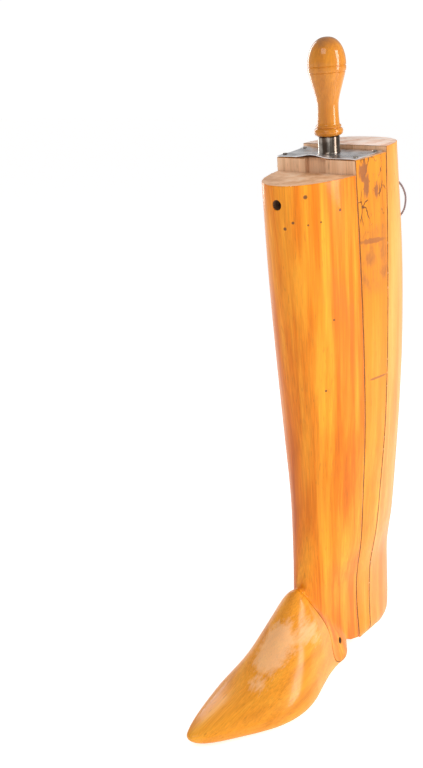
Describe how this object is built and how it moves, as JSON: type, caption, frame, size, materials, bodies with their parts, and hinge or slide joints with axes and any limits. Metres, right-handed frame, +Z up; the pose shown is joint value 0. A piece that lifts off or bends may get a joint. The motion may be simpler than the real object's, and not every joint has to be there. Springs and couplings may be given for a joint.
{
  "type": "riding boot tree",
  "caption": "Wooden riding-boot tree for a left boot: hinged pointed forefoot, front and rear leg halves and a tapered centre wedge drawn up by a turned handle.",
  "frame": {"origin": "middle of the rear leg's flat heel bottom, on the surface that the tree stands on", "axes": "+Z up, toe towards -Y, +X towards the outer side of the foot; the leg leans 7.1 degrees towards the toe"},
  "size_m": [0.0963, 0.3202, 0.6018],
  "materials": {
    "honey_wood": "polished shellac over maple, honey amber",
    "wedge_wood": "worn shellac, stained, bare on the sliding faces",
    "key_wood": "bare planed hardwood",
    "turned_wood": "glossy turned and polished",
    "plug_wood": "end grain, satin",
    "tinplate": "thin tinned sheet, dulled and dented",
    "polished_steel": "polished, slightly tarnished",
    "dark_steel": "old dark steel",
    "cord": "thin waxed twisted cord"
  },
  "bodies": {
    "calf": {"calf_leg": "honey_wood", "calf_key": "key_wood", "calf_key_screw_1": "dark_steel", "calf_key_screw_2": "dark_steel", "calf_key_screw_3": "dark_steel", "cord_knot": "cord", "pull_cord": "cord"},
    "wedge": {"wedge": "wedge_wood", "wedge_plate": "tinplate", "plate_nail_1": "polished_steel", "plate_nail_2": "polished_steel", "plate_nail_3": "polished_steel", "plate_nail_4": "polished_steel", "handle_rod": "dark_steel", "ferrule": "polished_steel", "handle": "turned_wood"},
    "shin": {"shin_leg": "honey_wood", "shin_key": "key_wood", "shin_key_screw_1": "dark_steel", "shin_key_screw_2": "dark_steel", "shin_key_screw_3": "dark_steel", "hinge_pin": "dark_steel", "pin_plug": "plug_wood"},
    "foot": {"forefoot": "honey_wood"}
  },
  "joints": [
    {"name": "wedge_draw", "type": "slide", "parent": "calf", "child": "wedge", "axis": [0, -0.1096, 0.994], "range_m": [0, 0.2]},
    {"name": "shin_close", "type": "slide", "parent": "wedge", "child": "shin", "axis": [0, -0.154, 0.9881], "range_m": [-0.2017, 0]},
    {"name": "foot_hinge", "type": "hinge", "parent": "shin", "child": "foot", "pos_m": [0, -0.09, 0.0255], "axis": [1, 0, 0], "range_deg": [0, 16]}
  ],
  "couplings": [
    {"joint": "shin_close", "follows": "wedge_draw", "ratio": -1.006}
  ]
}
